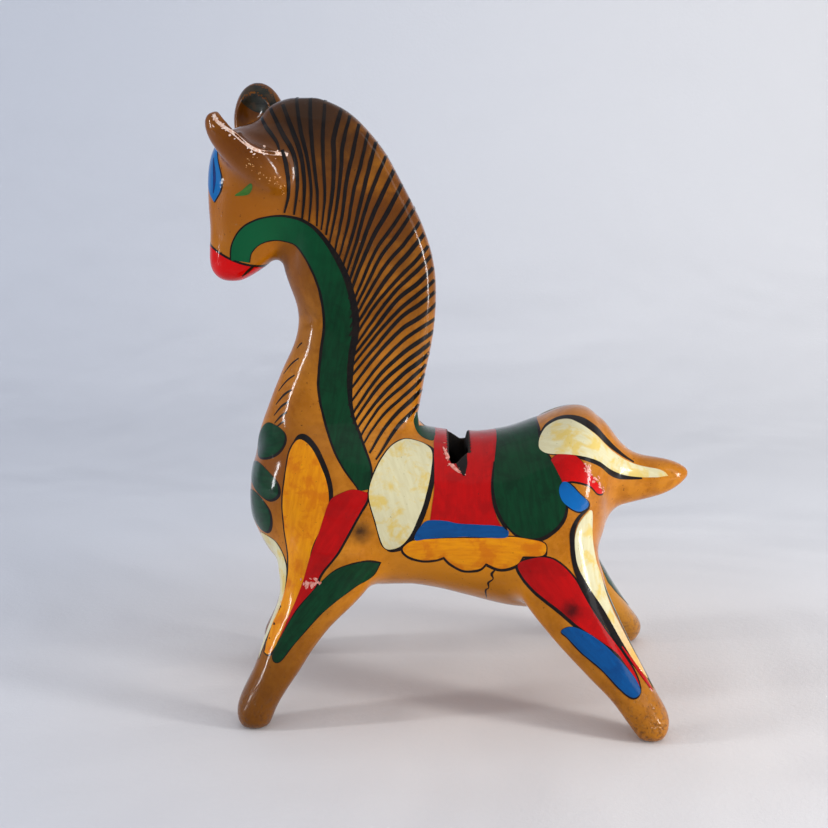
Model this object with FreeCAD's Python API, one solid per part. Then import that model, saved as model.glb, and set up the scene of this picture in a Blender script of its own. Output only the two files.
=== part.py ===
"""A hand-built, painted clay horse with a coin slot in its back: the luted clay pieces, in millimetres.

Row frame: +Z up, the nose towards -X, the horse's left flank towards -Y.
The origin is on the floor, under the middle of the whole horse's box.
"""
import FreeCAD, Part
import math
import os
from FreeCAD import Vector

# ---- driving dimensions, mm -------------------------------------------------------------------
WALL = 5.0                # thickness of the pressed clay wall of the barrel
NECK_WALL = 4.0           # thickness of the pressed clay wall of the neck
SLOT_WIDTH = 4.8          # coin slot, across the back, at its middle
SLOT_END_WIDTH = 3.8      # the slot narrows towards its ends
SLOT_LENGTH = 29.6        # tip to tip, from flank to flank
SLOT_STRAIGHT = 20.0      # the length over which the slot keeps its full width
SLOT_X = 1.6              # where the slot crosses the back
FOOT_FLAT = 3.4           # radius of the worn flat under each foot
FRONT_STANCE = 27.5       # half the distance between the front feet
HIND_STANCE = 36.0        # half the distance between the hind feet
RIGHT_FRONT_BACK = 2.5    # the right front foot was set this much further back than the left
RIGHT_HIND_BACK = 2.0     # and the right hind foot this much
BIG = 400.0               # size of the blocks that cut the moulded pieces along the middle plane

# ---- stations of each form --------------------------------------------------------------------
# Barrel, nose to tail: x, lowest z, highest z, half width.
BARREL = [
    (-54.6, 54.0, 59.5, 3.0),
    (-53.4, 47.4, 67.0, 10.5),
    (-50.0, 41.0, 74.0, 16.0),
    (-44.0, 35.2, 79.0, 20.5),
    (-35.0, 32.8, 81.0, 23.0),
    (-24.0, 31.0, 79.0, 23.5),
    (-11.0, 31.2, 75.0, 22.5),
    (2.0, 28.4, 73.0, 21.8),
    (14.0, 25.2, 73.8, 22.3),
    (24.0, 24.4, 77.3, 22.8),
    (32.0, 27.4, 80.3, 21.5),
    (38.0, 36.0, 79.0, 17.5),
    (41.4, 45.5, 75.0, 11.5),
    (43.4, 54.0, 67.0, 4.5),
]
# Neck and mane, bottom to top: z, front x, back x, half thickness of the neck column.
NECK = [
    (60.0, -51.5, -14.0, 13.5),
    (68.0, -52.9, -11.5, 13.0),
    (76.0, -51.4, -9.4, 12.3),
    (84.0, -48.5, -7.9, 11.4),
    (92.0, -45.1, -6.4, 10.5),
    (100.0, -41.9, -4.9, 9.9),
    (108.0, -41.9, -4.2, 9.7),
    (116.0, -44.5, -4.4, 9.8),
    (124.0, -45.5, -6.0, 10.0),
    (132.0, -46.5, -9.0, 10.0),
    (140.0, -47.5, -13.1, 9.6),
    (148.0, -49.0, -17.6, 8.8),
    (154.0, -50.5, -22.3, 7.6),
    (158.5, -49.4, -27.2, 6.0),
    (161.0, -46.4, -31.6, 4.0),
    (162.3, -42.2, -35.4, 2.0),
]
# Head, chin to poll: z, front x, back x, half width.
HEAD = [
    (114.4, -60.8, -56.2, 2.2),
    (115.8, -62.9, -53.0, 5.0),
    (118.4, -64.2, -49.0, 6.8),
    (122.0, -64.4, -44.5, 7.6),
    (127.0, -64.2, -40.0, 8.6),
    (133.0, -64.4, -37.0, 10.2),
    (140.0, -64.4, -35.0, 11.8),
    (146.0, -63.6, -34.0, 12.2),
    (151.0, -61.4, -36.0, 11.0),
    (154.2, -57.6, -39.0, 8.0),
    (155.6, -53.4, -43.0, 4.0),
]
# Tail, root to tip: x, lowest z, highest z, half width.
TAIL = [
    (35.0, 47.5, 79.6, 12.0),
    (40.0, 50.4, 77.3, 10.8),
    (45.2, 52.4, 71.4, 8.8),
    (50.0, 53.6, 67.4, 7.2),
    (55.0, 54.8, 66.2, 6.0),
    (59.5, 56.6, 65.2, 4.8),
    (62.6, 58.9, 63.9, 3.2),
    (64.4, 60.8, 62.4, 1.2),
]
# Legs, foot to root: z, front x, back x, half thickness, share of the way from the foot's y to the hip's y.
FRONT_LEG = [
    (0.0, -52.2 - FOOT_FLAT, -52.2 + FOOT_FLAT, FOOT_FLAT, 0.0),
    (1.3, -56.6, -47.8, 5.0, 0.0),
    (4.5, -57.2, -46.4, 6.3, 0.04),
    (9.0, -55.8, -43.8, 6.9, 0.14),
    (14.0, -53.2, -40.3, 7.4, 0.27),
    (20.0, -50.9, -36.2, 7.8, 0.42),
    (27.0, -48.3, -30.0, 8.6, 0.6),
    (34.0, -46.2, -22.6, 9.6, 0.78),
    (42.0, -46.6, -18.0, 10.6, 0.92),
    (52.0, -46.6, -19.0, 10.0, 1.0),
]
HIND_LEG = [
    (0.0, 51.0 - FOOT_FLAT, 51.0 + FOOT_FLAT, FOOT_FLAT, 0.0),
    (1.3, 46.8, 55.2, 5.0, 0.0),
    (4.5, 44.4, 56.2, 6.4, 0.04),
    (9.0, 40.8, 54.4, 7.1, 0.14),
    (14.0, 35.4, 51.3, 7.5, 0.27),
    (20.0, 29.0, 47.9, 7.9, 0.42),
    (27.0, 22.4, 44.3, 8.6, 0.6),
    (34.0, 17.0, 41.3, 9.4, 0.78),
    (42.0, 14.6, 39.2, 10.0, 0.92),
    (52.0, 17.0, 37.0, 9.4, 1.0),
]
FRONT_HIP_Y = 13.5
HIND_HIP_Y = 13.0

# Ears: middle, way the ear points, way the cup faces, half length, half width, half depth.
LEFT_EAR = (Vector(-52.4, -12.2, 148.6), Vector(-0.68, -0.2, 0.7), Vector(0.4, 0.5, 0.77), 14.4, 6.4, 5.8)
RIGHT_EAR = (Vector(-51.4, 12.6, 154.8), Vector(-0.1, 0.14, 0.98), Vector(-0.42, -0.9, 0.1), 11.0, 7.9, 4.8)
# The upper side of the left ear is hollowed along a long arc: its middle and radius.
LEFT_EAR_ARC = (Vector(-43.0, -12.0, 167.0), 18.0)
EAR_DISH = 0.74           # size of the hollow in an ear, as a share of the ear

# Barrel and tail sections are a little squarer than an ellipse; the neck's are pear shaped.
SECTION_POINTS = 16
SQUARENESS = 2.15
# Half a neck section, throat to crest: share of the length, share of the half thickness.
NECK_HALF = [(0.0, 0.0), (0.035, 0.42), (0.13, 0.8), (0.29, 1.0), (0.47, 0.95), (0.66, 0.76), (0.83, 0.6),
             (0.945, 0.46), (0.99, 0.24), (1.0, 0.0)]


def closed_wire(points):
    """A smooth closed wire through the points."""
    curve = Part.BSplineCurve()
    curve.interpolate(points, PeriodicFlag=True)
    return Part.Wire([curve.toShape()])


def oval(count=SECTION_POINTS, power=SQUARENESS):
    """Points round a superellipse with half axes of 1."""
    found = []
    for i in range(count):
        a = 2 * math.pi * i / count
        c, s = math.cos(a), math.sin(a)
        found.append((math.copysign(abs(c) ** (2 / power), c), math.copysign(abs(s) ** (2 / power), s)))
    return found


def loft(wires):
    return Part.makeLoft(wires, True, False)


def along_x(stations, shrink=0.0):
    """A loft through oval sections that stand across X."""
    wires = []
    for x, low, high, half in stations:
        tall = (high - low) / 2 - shrink
        wires.append(closed_wire([Vector(x, (half - shrink) * u, (low + high) / 2 + tall * v) for u, v in oval()]))
    return loft(wires)


def along_z(stations):
    """A loft through level oval sections: z, front x, back x, half width, middle y."""
    wires = []
    for z, front, back, half, y in stations:
        wires.append(closed_wire(
            [Vector((front + back) / 2 + (back - front) / 2 * u, y + half * v, z) for u, v in oval()]))
    return loft(wires)


def neck_form(stations, shrink=0.0):
    """The neck column and the mane behind it, as one loft of pear-shaped level sections."""
    wires = []
    for z, front, back, half in stations:
        front, back, half = front + shrink, back - 1.6 * shrink, half - shrink
        side = [Vector(front + (back - front) * u, half * v, z) for u, v in NECK_HALF]
        other = [Vector(p.x, -p.y, p.z) for p in reversed(side[1:-1])]
        wires.append(closed_wire(side + other))
    return loft(wires)


def leg_form(stations, stance, hip, side, back_shift):
    """A leg on one side: side is -1 for left and 1 for right, and its foot stands back_shift further back."""
    level = []
    for z, front, back, half, share in stations:
        shift = back_shift * (1 - share)
        level.append((z, front + shift, back + shift, half, side * (stance + (hip - stance) * share)))
    return along_z(level)


def ear_form(ear):
    """A cupped ear: an ellipsoid with a smaller one scooped out of its open side."""
    middle, points, faces, long, wide, deep = ear
    length = Vector(points).normalize()
    depth = (Vector(faces) - length * Vector(faces).dot(length)).normalize()
    width = depth.cross(length)

    def ellipsoid(scale, shift):
        ball = Part.makeSphere(1.0)
        at = middle + depth * shift
        columns = [length * long * scale, width * wide * scale, depth * deep * scale]
        placed = FreeCAD.Matrix(
            columns[0].x, columns[1].x, columns[2].x, at.x,
            columns[0].y, columns[1].y, columns[2].y, at.y,
            columns[0].z, columns[1].z, columns[2].z, at.z,
            0, 0, 0, 1)
        return ball.transformGeometry(placed)

    return ellipsoid(1.0, 0.0).cut(ellipsoid(EAR_DISH, deep * 0.95))


def left_ear():
    middle, radius = LEFT_EAR_ARC
    return ear_form(LEFT_EAR).cut(Part.makeSphere(radius, middle))


def half_space(side):
    """A block that fills the half of space on one side of the middle plane."""
    corner = Vector(-BIG / 2, 0 if side > 0 else -BIG, -BIG / 2)
    return Part.makeBox(BIG, BIG, BIG, corner)


def coin_slot():
    """A lens-shaped slot cut straight down through the back."""
    wide, narrow = SLOT_WIDTH / 2, SLOT_END_WIDTH / 2
    straight, end = SLOT_STRAIGHT / 2, SLOT_LENGTH / 2
    right = [(wide, -straight), (wide, straight), (narrow, end)]
    outline = right + [(-x, -y) for x, y in right]
    base = [Vector(SLOT_X + x, y, 52.0) for x, y in outline]
    return Part.Face(Part.makePolygon(base + base[:1])).extrude(Vector(0, 0, 40.0))


def largest(shape):
    """The biggest solid of a cut, without its slivers."""
    return max(shape.Solids, key=lambda s: s.Volume)


def build():
    barrel = along_x(BARREL)
    chamber = along_x([s for s in BARREL if -50.0 <= s[0] <= 40.0], WALL)
    neck = neck_form(NECK)
    neck_hollow = neck_form([s for s in NECK if 84.0 <= s[0] <= 148.0], NECK_WALL)
    head = along_z([(*s, 0.0) for s in HEAD])
    shell = barrel.cut(chamber).cut(coin_slot())
    column = neck.cut(barrel).cut(neck_hollow)
    parts = {}
    for name, side in (("left", -1), ("right", 1)):
        parts["barrel_" + name] = shell.common(half_space(side))
        parts["neck_and_mane_" + name] = column.common(half_space(side))
        front_back, hind_back = (0.0, 0.0) if side < 0 else (RIGHT_FRONT_BACK, RIGHT_HIND_BACK)
        parts["front_leg_" + name] = leg_form(FRONT_LEG, FRONT_STANCE, FRONT_HIP_Y, side, front_back).cut(barrel)
        parts["hind_leg_" + name] = leg_form(HIND_LEG, HIND_STANCE, HIND_HIP_Y, side, hind_back).cut(barrel)
        ear = left_ear() if side < 0 else ear_form(RIGHT_EAR)
        parts["ear_" + name] = ear.cut(head).cut(neck)
    parts["head"] = head.cut(neck)
    parts["tail"] = along_x(TAIL).cut(barrel)
    return {name: largest(shape) for name, shape in parts.items()}


os.makedirs("parts", exist_ok=True)
for name, shape in build().items():
    shape.exportStep("parts/" + name + ".step")
    box = shape.BoundBox
    print(f"{name:22s} valid {shape.isValid()} volume {shape.Volume / 1000:7.2f} cm3  "
          f"x {box.XMin:6.1f} {box.XMax:6.1f}  y {box.YMin:6.1f} {box.YMax:6.1f}  z {box.ZMin:6.1f} {box.ZMax:6.1f}")
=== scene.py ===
"""Looks of a hand-built, painted clay horse with a coin slot in its back, around its packed clay pieces."""
import math
import random

import bmesh
import bpy
import numpy as np
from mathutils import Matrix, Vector, geometry, noise
from mathutils.bvhtree import BVHTree
from mathutils.kdtree import KDTree


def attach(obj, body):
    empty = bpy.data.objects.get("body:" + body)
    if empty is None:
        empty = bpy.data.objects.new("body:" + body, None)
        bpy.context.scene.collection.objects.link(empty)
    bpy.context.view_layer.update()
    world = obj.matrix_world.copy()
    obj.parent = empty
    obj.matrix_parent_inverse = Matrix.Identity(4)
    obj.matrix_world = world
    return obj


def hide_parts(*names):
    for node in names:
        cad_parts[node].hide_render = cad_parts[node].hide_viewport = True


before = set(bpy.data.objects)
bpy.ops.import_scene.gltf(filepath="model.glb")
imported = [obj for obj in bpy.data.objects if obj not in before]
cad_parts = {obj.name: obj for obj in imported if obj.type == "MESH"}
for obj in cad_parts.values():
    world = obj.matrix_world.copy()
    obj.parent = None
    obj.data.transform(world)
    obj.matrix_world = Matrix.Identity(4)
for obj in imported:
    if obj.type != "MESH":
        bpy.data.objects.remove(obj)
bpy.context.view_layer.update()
MM = 0.001

# ---- the clay skin ----
VOXEL = 0.5 * MM  # grain of the fused skin
FILLET_REACH = 5.0 * MM  # how far the slip in a luted joint is smeared
FILLET_ROUNDS = 260  # more rounds make fuller joints
FILLET_STEP = 0.8  # share of the way to its neighbours' mean that a corner goes each round
NORMALS_EVERY = 20  # rounds between fresh normals
EVEN_ROUNDS = 5  # light smoothing all over, which also eases the slot's edges
OWNER_ROUNDS = 12  # smoothing of the line where two forms meet
WOBBLE = 0.45 * MM  # deepest hand-made hollow
WOBBLE_SIZE = 15.0 * MM  # how far apart the hollows are
HALVED = ("barrel", "neck_and_mane")
WHOLE = ("head", "ear_left", "ear_right", "front_leg_left", "front_leg_right", "hind_leg_left",
         "hind_leg_right", "tail")
FORMS = {form: (form + "_left", form + "_right") for form in HALVED} | {form: (form,) for form in WHOLE}


def new_object(name, mesh):
    obj = bpy.data.objects.new(name, mesh)
    bpy.context.scene.collection.objects.link(obj)
    return obj


def joined(name, nodes):
    """A copy of the CAD nodes' meshes, as one mesh."""
    bm = bmesh.new()
    for node in nodes:
        bm.from_mesh(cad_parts[node].data)
    mesh = bpy.data.meshes.new(name)
    bm.to_mesh(mesh)
    bm.free()
    return mesh


def remeshed(mesh):
    """Corner positions and quads of the mesh after a voxel remesh."""
    obj = new_object("remesh_work", mesh)
    modifier = obj.modifiers.new("fuse", "REMESH")
    modifier.mode = "VOXEL"
    modifier.voxel_size = VOXEL
    graph = bpy.context.evaluated_depsgraph_get()
    graph.update()
    done = bpy.data.meshes.new_from_object(obj.evaluated_get(graph))
    points = np.empty(len(done.vertices) * 3)
    done.vertices.foreach_get("co", points)
    corners = np.empty(len(done.loops), int)
    done.loops.foreach_get("vertex_index", corners)
    bpy.data.objects.remove(obj)
    bpy.data.meshes.remove(done)
    return points.reshape(-1, 3), corners.reshape(-1, 4)


def outer_only(points, quads):
    """The skin without the sealed hollows inside it."""
    a, b = quads.ravel(), np.roll(quads, -1, axis=1).ravel()
    label = np.arange(len(points))
    while True:
        least = np.minimum(label[a], label[b])
        new = label.copy()
        np.minimum.at(new, a, least)
        np.minimum.at(new, b, least)
        new = new[new]
        if (new == label).all():
            break
        label = new
    outer = label[points[:, 2].argmax()]
    kept = label == outer
    number = np.cumsum(kept) - 1
    return points[kept], number[quads[kept[quads[:, 0]]]]


class Fabric:
    """Neighbour sums and normals of a quad mesh."""

    def __init__(self, quads, count):
        a, b = quads.ravel(), np.roll(quads, -1, axis=1).ravel()
        self.a, self.b, self.count = a, b, count
        self.quads = quads
        self.degree = np.bincount(a, minlength=count)[:, None]

    def pull(self, values):
        """From each corner's values to the mean of its neighbours'."""
        total = [np.bincount(self.a, column[self.b], self.count) for column in values.T]
        return np.stack(total, axis=1) / self.degree - values

    def normals(self, points):
        q = points[self.quads]
        face = np.cross(q[:, 2] - q[:, 0], q[:, 3] - q[:, 1])
        total = [np.bincount(self.quads.ravel(), np.repeat(face[:, k], 4), self.count) for k in range(3)]
        total = np.stack(total, axis=1)
        return total / np.linalg.norm(total, axis=1, keepdims=True)


def form_distances(points):
    """Each corner's distance to every form's surface, counted no further than the fillet's reach."""
    found = np.full((len(points), len(FORMS)), FILLET_REACH)
    for column, nodes in enumerate(FORMS.values()):
        mesh = joined("near_work", nodes)
        mesh.calc_loop_triangles()
        corners = [v.co for v in mesh.vertices]
        tree = BVHTree.FromPolygons(corners, [tuple(t.vertices) for t in mesh.loop_triangles])
        box = np.array([tuple(c) for c in corners])
        near = ((points > box.min(0) - FILLET_REACH) & (points < box.max(0) + FILLET_REACH)).all(axis=1)
        for i in np.nonzero(near)[0]:
            found[i, column] = min(tree.find_nearest(points[i])[3], FILLET_REACH)
        bpy.data.meshes.remove(mesh)
    return found


def noise_field(points, size, seed):
    """Smooth noise from -1 to 1 at each point."""
    shift = Vector((seed * 7.3, seed * 3.1, seed * 5.7))
    return np.array([noise.noise(Vector(p) / size + shift) for p in points])


def clay_skin():
    """The fused skin: corners, quads, normals and the number of the form that each corner belongs to."""
    points, quads = outer_only(*remeshed(joined("fused", [n for nodes in FORMS.values() for n in nodes])))
    fabric = Fabric(quads, len(points))
    distance = form_distances(points)
    second = np.partition(distance, 1, axis=1)[:, 1]
    for _ in range(OWNER_ROUNDS):
        distance = distance + fabric.pull(distance) * 0.5
    owner = distance.argmin(axis=1)
    weight = np.clip(1 - second / FILLET_REACH, 0, 1)[:, None]
    weight = weight * weight * (3 - 2 * weight)
    for turn in range(FILLET_ROUNDS):
        if turn % NORMALS_EVERY == 0:
            normal = fabric.normals(points)
        step = fabric.pull(points)
        along = (step * normal).sum(axis=1, keepdims=True)
        points = points + weight * (step - normal * np.minimum(along, 0)) * FILLET_STEP
    for _ in range(EVEN_ROUNDS):
        points = points + fabric.pull(points) * 0.5
    normal = fabric.normals(points)
    hollow = noise_field(points, WOBBLE_SIZE, 1) * 0.7 + noise_field(points, WOBBLE_SIZE / 2.7, 2) * 0.3
    points = points - normal * (WOBBLE * (0.5 + 0.5 * hollow))[:, None]
    points[:, 2] = np.maximum(points[:, 2], 0.0)
    return points, quads, fabric.normals(points), owner


SKIN, QUADS, SKIN_NORMALS, OWNER = clay_skin()
NORMAL_AT = KDTree(len(SKIN))
for number, corner in enumerate(SKIN):
    NORMAL_AT.insert(corner, number)
NORMAL_AT.balance()
SKIN_TREE = BVHTree.FromPolygons([tuple(p) for p in SKIN], [tuple(q) for q in QUADS])
BARREL_AXIS = 51.0  # mm: how high the middle of the barrel is
BARREL_RADIUS = 22.0  # mm
CHAMBER_RADIUS = 26.0  # mm from that axis within which the chamber and the slot lie
CHAMBER_REACH = 42.0  # mm to the front and rear within which they lie
SLOT_LOW = (-1.8 * MM, -17.0 * MM, 58.0 * MM)  # corners of a box round the slot
SLOT_HIGH = (5.4 * MM, 17.0 * MM, 80.0 * MM)
SLOT_RIM = 3  # rings of faces about the slot that get the near-black painted shade too
SLOT_FACING = 0.94  # near the slot, what faces less squarely outward than this is its wall or edge
INNER_FACING = 0.3  # elsewhere, what faces less squarely outward than this may line the chamber
WALLED = ((0, 0, -1), (1, 0, 0), (-1, 0, 0))  # ways in which the chamber always has a wall


def out_of_sight():
    """Which corners line the coin chamber or the walls of the slot."""
    found = np.zeros(len(SKIN), bool)
    in_slot = ((SKIN > SLOT_LOW) & (SKIN < SLOT_HIGH)).all(axis=1)
    rise = SKIN[:, 2] - BARREL_AXIS * MM
    away = np.hypot(SKIN[:, 1], rise)
    near = (away < CHAMBER_RADIUS * MM) & (np.abs(SKIN[:, 0]) < CHAMBER_REACH * MM)
    for i in np.nonzero(near)[0]:
        out = np.array((0.0, SKIN[i, 1], rise[i])) / away[i]
        facing = SKIN_NORMALS[i] @ out
        if in_slot[i]:
            found[i] = facing < SLOT_FACING
        elif facing < INNER_FACING:
            start = Vector(SKIN[i] + SKIN_NORMALS[i] * 0.3 * MM)
            found[i] = all(SKIN_TREE.ray_cast(start, Vector(way))[0] is not None for way in WALLED)
    for _ in range(SLOT_RIM):
        rim = found[QUADS].any(axis=1) & in_slot[QUADS].all(axis=1)
        found[QUADS[rim]] = True
    return found


# corners whose faces get the near-black clay, painted shade inside the bank
HIDDEN = out_of_sight()


# ---- materials ----
MIX_SHARE, MIX_A, MIX_B = 0, 6, 7  # the Mix node's inputs for colours
MIX_RESULT = 2
PATCH_CORE = 0.5  # mm about a patch's centre where its colour is full


class Recipe:
    """Builds one material's nodes."""

    def __init__(self, name):
        self.material = bpy.data.materials.new(name)
        self.material.use_nodes = True
        self.tree = self.material.node_tree
        self.shader = self.tree.nodes["Principled BSDF"]

    def node(self, kind, sockets=None, **settings):
        made = self.tree.nodes.new("ShaderNode" + kind)
        for key, value in settings.items():
            setattr(made, key, value)
        self.fill(made, sockets or {})
        return made

    def fill(self, made, sockets):
        for key, value in sockets.items():
            if isinstance(value, bpy.types.NodeSocket):
                self.tree.links.new(value, made.inputs[key])
            else:
                made.inputs[key].default_value = value

    def place(self):
        """Where a point of the surface is, in millimetres."""
        coordinates = self.node("TexCoord").outputs["Object"]
        return self.node("VectorMath", {0: coordinates, "Scale": 1 / MM}, operation="SCALE").outputs["Vector"]

    def noise(self, where, scale, detail=3.0, rough=0.5, bend=0.0):
        sockets = {"Vector": where, "Scale": scale, "Detail": detail, "Roughness": rough, "Distortion": bend}
        return self.node("TexNoise", sockets).outputs["Fac"]

    def ramp(self, value, low, high, start=0.0, end=1.0):
        """value from low to high, stretched to start to end with soft ends."""
        sockets = {"Value": value, "From Min": low, "From Max": high, "To Min": start, "To Max": end}
        return self.node("MapRange", sockets, interpolation_type="SMOOTHSTEP").outputs["Result"]

    def math(self, operation, a, b):
        return self.node("Math", {0: a, 1: b}, operation=operation).outputs["Value"]

    def times(self, *values):
        """The product of the values."""
        total = values[0]
        for value in values[1:]:
            total = self.math("MULTIPLY", total, value)
        return total

    def mix(self, share, a, b):
        sockets = {MIX_SHARE: share, MIX_A: a, MIX_B: b}
        return self.node("Mix", sockets, data_type="RGBA").outputs[MIX_RESULT]

    def stain_and_painted_light(self, where, base, centre, radius, tone):
        """base with a soft, ragged, round patch of a tone about a centre, in millimetres, used both for
        stains and for painted light and shade.
        """
        away = self.node("VectorMath", {0: where, 1: centre}, operation="DISTANCE").outputs["Value"]
        ragged = self.math("ADD", away, self.times(self.noise(where, 0.6, 3.0), 2.0))
        return self.mix(self.ramp(ragged, radius + PATCH_CORE, PATCH_CORE), base, shade(tone))

    def bump(self, height, strength, distance, normal=None):
        sockets = {"Height": height, "Strength": strength, "Distance": distance}
        if normal is not None:
            sockets["Normal"] = normal
        return self.node("Bump", sockets).outputs["Normal"]


def shade(srgb):
    """A colour from 0-255 screen values."""
    linear = [((c / 255 + 0.055) / 1.055) ** 2.4 if c > 10 else c / 255 / 12.92 for c in srgb]
    return (*linear, 1.0)


def varnish(look, where, normal):
    """The aged clear varnish over clay and paint alike: glossy, faintly rippled, dulled in small scuffs."""
    scuffs = look.ramp(look.noise(where, 0.9, 4.0, 0.7), 0.56, 0.72)
    ripple = look.bump(look.noise(where, 0.22, 2.0), 0.25, 0.5 * MM, normal)
    grain = look.bump(look.noise(where, 2.6, 3.0), 0.12, 0.1 * MM, ripple)
    look.fill(look.shader, {
        "Coat Weight": 1.0,
        "Coat Roughness": 0.07,
        "Coat IOR": 1.25,
        "Specular IOR Level": 0.03,
        "Coat Normal": grain,
        "Roughness": look.ramp(scuffs, 0.0, 1.0, 0.32, 0.55),
        "Normal": normal,
    })


CLAY_TONES_AND_PAINTED_LIGHT = [  # where the clay is darker or lighter, in millimetres: centre, radius, colour; the chest's patch is painted shade and the belly's is painted light
    ((-56.0, -12.0, 135.0), 36.0, (150, 84, 8)),
    # painted shade on the chest
    ((-46.0, -14.0, 66.0), 26.0, (116, 60, 0)),
    ((-51.0, -16.0, 152.0), 17.0, (96, 46, 0)),
    ((-38.0, -4.0, 158.0), 30.0, (46, 26, 8)),
    # painted light: the underside of the barrel made lighter against the shade under it
    ((0.0, -12.0, 34.0), 40.0, (202, 126, 8)),
    ((44.0, 33.0, 16.0), 36.0, (200, 138, 44)),
]
SMUDGE = ((-24.2, -24.0, 51.9), 5.2, (24, 16, 10))  # a dark spot on the shoulder


def clay_material():
    """Ochre clay under an amber varnish that has pooled and darkened, darker down the legs and dirtiest at
    the feet, with painted shade on the chest and painted light under the belly.
    """
    look = Recipe("varnished_clay")
    where = look.place()
    axes = look.node("SeparateXYZ", {"Vector": where}).outputs
    height = axes["Z"]
    broad = look.ramp(look.noise(where, 0.05, 3.0, 0.6), 0.36, 0.64)
    mottle = look.ramp(look.noise(where, 0.22, 4.0, 0.65, 0.6), 0.4, 0.66)
    fine = look.ramp(look.noise(where, 0.8, 5.0, 0.65), 0.35, 0.7)
    base = look.mix(broad, shade((164, 96, 2)), shade((188, 118, 26)))
    base = look.mix(look.times(mottle, 0.5), base, shade((142, 78, 0)))
    base = look.mix(look.times(fine, 0.3), base, shade((196, 124, 40)))
    maned = look.times(look.ramp(height, 66.0, 132.0), look.ramp(axes["X"], -50.0, -40.0))
    aged = look.math("MAXIMUM", maned, look.ramp(height, 144.0, 154.0))
    uneven = look.ramp(look.noise(where, 0.09, 4.0, 0.6, 0.5), 0.25, 0.6, 0.5, 1.0)
    base = look.mix(look.times(aged, uneven, 0.92), base, shade((82, 40, 2)))
    for centre, radius, tone in CLAY_TONES_AND_PAINTED_LIGHT:
        base = look.stain_and_painted_light(where, base, centre, radius, tone)
    legs = look.times(look.ramp(height, 44.0, 8.0), look.ramp(axes["X"], 30.0, -30.0, 0.35, 0.85))
    base = look.mix(legs, base, shade((92, 50, 0)))
    dirt = look.ramp(look.noise(where, 0.9, 5.0, 0.75), 0.48, 0.66)
    dirty_feet = look.times(dirt, look.ramp(height, 17.0, 3.0))
    base = look.mix(look.times(dirty_feet, 0.8), base, shade((84, 46, 6)))
    specks = look.ramp(look.noise(where, 1.1, 3.0, 0.6), 0.66, 0.73)
    base = look.mix(look.times(specks, 0.8), base, shade((60, 32, 6)))
    base = look.stain_and_painted_light(where, base, *SMUDGE)
    pits = look.ramp(look.noise(where, 1.7, 2.0), 0.24, 0.34)
    normal = look.bump(look.math("ADD", pits, look.times(dirty_feet, -1.5)), 0.5, 0.15 * MM)
    look.fill(look.shader, {"Base Color": base})
    varnish(look, where, normal)
    return look.material


def shade_clay_material():
    """Near-black clay lining the coin chamber and the slot's walls: painted shade in the hollow."""
    look = Recipe("painted_shade_clay")
    where = look.place()
    grit = look.noise(where, 1.2, 5.0, 0.7)
    base = look.mix(look.ramp(grit, 0.3, 0.7), shade((16, 12, 9)), shade((44, 30, 18)))
    normal = look.bump(grit, 0.5, 0.2 * MM)
    look.fill(look.shader, {"Base Color": base, "Roughness": 0.95, "Normal": normal})
    return look.material


CLAY = clay_material()
SHADE_CLAY = shade_clay_material()


# ---- the clay pieces ----
SAME_PLACE = 1e-7  # m: corners nearer than this to the cutting plane lie on it


def ride(obj, nodes=()):
    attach(obj, "root")
    if nodes:
        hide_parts(*nodes)


def cap_holes(bm):
    """Closes every open rim with a fan."""
    rims = [e for e in bm.edges if len(e.link_faces) == 1]
    caps = bmesh.ops.holes_fill(bm, edges=rims, sides=0)["faces"]
    bmesh.ops.poke(bm, faces=caps)


def form_solid(number):
    """The closed piece of the skin that belongs to one form."""
    quads = QUADS[OWNER[QUADS[:, 0]] == number]
    used, corners = np.unique(quads, return_inverse=True)
    bm = bmesh.new()
    made = [bm.verts.new(p) for p in SKIN[used]]
    for old, quad in zip(quads, corners.reshape(-1, 4)):
        # faces lining the chamber and the slot take the second material, the painted shade
        bm.faces.new([made[i] for i in quad]).material_index = int(HIDDEN[old[0]])
    cap_holes(bm)
    return bm


def half_solid(whole, side):
    """What lies on one side of the middle plane, closed: side is -1 for left and 1 for right."""
    bm = whole.copy()
    everything = bm.verts[:] + bm.edges[:] + bm.faces[:]
    cut = bmesh.ops.bisect_plane(bm, geom=everything, dist=SAME_PLACE, plane_co=(0, 0, 0),
                                 plane_no=(0, -side, 0), clear_outer=True)
    rim = [e for e in cut["geom_cut"] if isinstance(e, bmesh.types.BMEdge)]
    bmesh.ops.triangle_fill(bm, use_beauty=False, edges=rim)
    bmesh.ops.recalc_face_normals(bm, faces=bm.faces[:])
    return bm


def clay_piece(name, bm):
    mesh = bpy.data.meshes.new(name)
    bm.to_mesh(mesh)
    bm.free()
    mesh.shade_smooth()
    normals = [SKIN_NORMALS[NORMAL_AT.find(v.co)[1]] for v in mesh.vertices]
    mesh.normals_split_custom_set_from_vertices(normals)
    mesh.materials.append(CLAY)
    mesh.materials.append(SHADE_CLAY)
    ride(new_object("clay_" + name, mesh), [name])


def clay_pieces():
    for number, (form, nodes) in enumerate(FORMS.items()):
        solid = form_solid(number)
        if len(nodes) == 1:
            clay_piece(form, solid)
        else:
            for node, side in zip(nodes, (-1, 1)):
                clay_piece(node, half_solid(solid, side))
            solid.free()


clay_pieces()


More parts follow.
